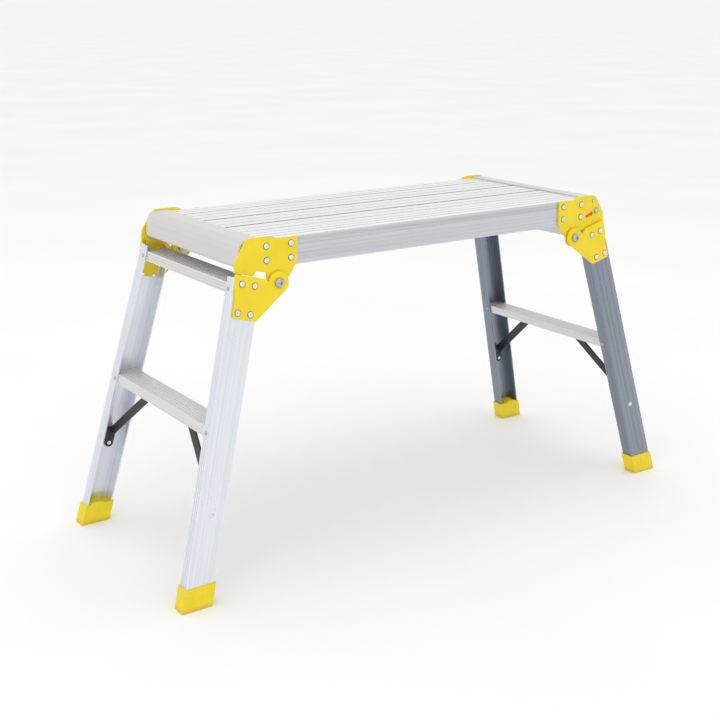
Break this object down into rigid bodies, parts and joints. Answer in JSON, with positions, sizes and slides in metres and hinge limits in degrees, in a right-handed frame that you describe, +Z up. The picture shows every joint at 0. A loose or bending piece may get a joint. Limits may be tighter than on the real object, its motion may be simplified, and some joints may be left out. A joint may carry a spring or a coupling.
{
  "type": "work platform bench",
  "caption": "Folding aluminium work platform with a ribbed plank deck, two splayed leg frames with treads, steel hinge plates and push-button locks",
  "frame": {"origin": "on the floor, under the middle of the deck", "axes": "+X along the deck to the end on the right of the front view, +Y from the front rail to the rear rail, +Z up"},
  "size_m": [0.9484, 0.381, 0.5045],
  "materials": {
    "rail": "extruded, fine lengthwise ribs",
    "deck": "extruded, ribbed",
    "cap": "satin sheet",
    "stile": "extruded, fine lengthwise ribs",
    "tread": "extruded, ribbed",
    "inner_metal": "mill",
    "plate": "powder coated",
    "rivet": "bright domed heads",
    "bolt": "zinc plated",
    "brace": "black coated",
    "foot": "moulded, fine grain",
    "button": "bright",
    "arrow": "label film"
  },
  "bodies": {
    "platform": {"side_rail_front": "rail", "side_rail_rear": "rail", "plank_front": "deck", "plank_middle": "deck", "plank_rear": "deck", "end_cap_left": "cap", "end_cap_right": "cap", "cross_member_left": "inner_metal", "cross_member_right": "inner_metal", "plank_rivets": "rivet", "rail_plate_left_front": "plate", "rail_plate_left_rear": "plate", "rail_plate_right_front": "plate", "rail_plate_right_rear": "plate", "rail_plate_rivets": "rivet", "pivot_bolts": "bolt", "pivot_washers": "bolt", "pivot_nuts": "bolt", "release_arrow_left": "arrow", "release_arrow_right": "arrow"},
    "leg_left": {"stile_left_front": "stile", "stile_left_rear": "stile", "top_tread_left": "tread", "mid_tread_left": "tread", "leg_plate_left_front": "plate", "leg_plate_left_rear": "plate", "leg_plate_rivets_left": "rivet", "tread_rivets_left": "rivet", "brace_left_front": "brace", "brace_left_rear": "brace", "brace_rivets_left": "rivet", "lock_tongue_left": "plate", "lock_spring_left": "bolt", "foot_left_front": "foot", "foot_left_rear": "foot"},
    "leg_right": {"stile_right_front": "stile", "stile_right_rear": "stile", "top_tread_right": "tread", "mid_tread_right": "tread", "leg_plate_right_front": "plate", "leg_plate_right_rear": "plate", "leg_plate_rivets_right": "rivet", "tread_rivets_right": "rivet", "brace_right_front": "brace", "brace_right_rear": "brace", "brace_rivets_right": "rivet", "lock_tongue_right": "plate", "lock_spring_right": "bolt", "foot_right_front": "foot", "foot_right_rear": "foot"},
    "release_button_left": {"release_button_left": "button"},
    "release_button_right": {"release_button_right": "button"},
    "lock_pin_left": {"lock_pin_left": "bolt"},
    "lock_pin_right": {"lock_pin_right": "bolt"}
  },
  "joints": [
    {"name": "leg_left_fold", "type": "hinge", "parent": "platform", "child": "leg_left", "pos_m": [-0.2845, 0, 0.4385], "axis": [0, -1, 0], "range_deg": [0, 104.8]},
    {"name": "leg_right_fold", "type": "hinge", "parent": "platform", "child": "leg_right", "pos_m": [0.2845, 0, 0.4385], "axis": [0, 1, 0], "range_deg": [0, 86]},
    {"name": "button_left_press", "type": "slide", "parent": "platform", "child": "release_button_left", "axis": [0, -1, 0], "range_m": [0, 0.002], "stiffness_N_per_m": 300},
    {"name": "button_right_press", "type": "slide", "parent": "platform", "child": "release_button_right", "axis": [0, 1, 0], "range_m": [0, 0.002], "stiffness_N_per_m": 300},
    {"name": "pin_left_press", "type": "slide", "parent": "leg_left", "child": "lock_pin_left", "axis": [0, -1, 0], "range_m": [0, 0.002]},
    {"name": "pin_right_press", "type": "slide", "parent": "leg_right", "child": "lock_pin_right", "axis": [0, 1, 0], "range_m": [0, 0.002]}
  ],
  "couplings": [
    {"joint": "pin_left_press", "follows": "button_left_press", "ratio": 1},
    {"joint": "pin_right_press", "follows": "button_right_press", "ratio": 1}
  ]
}
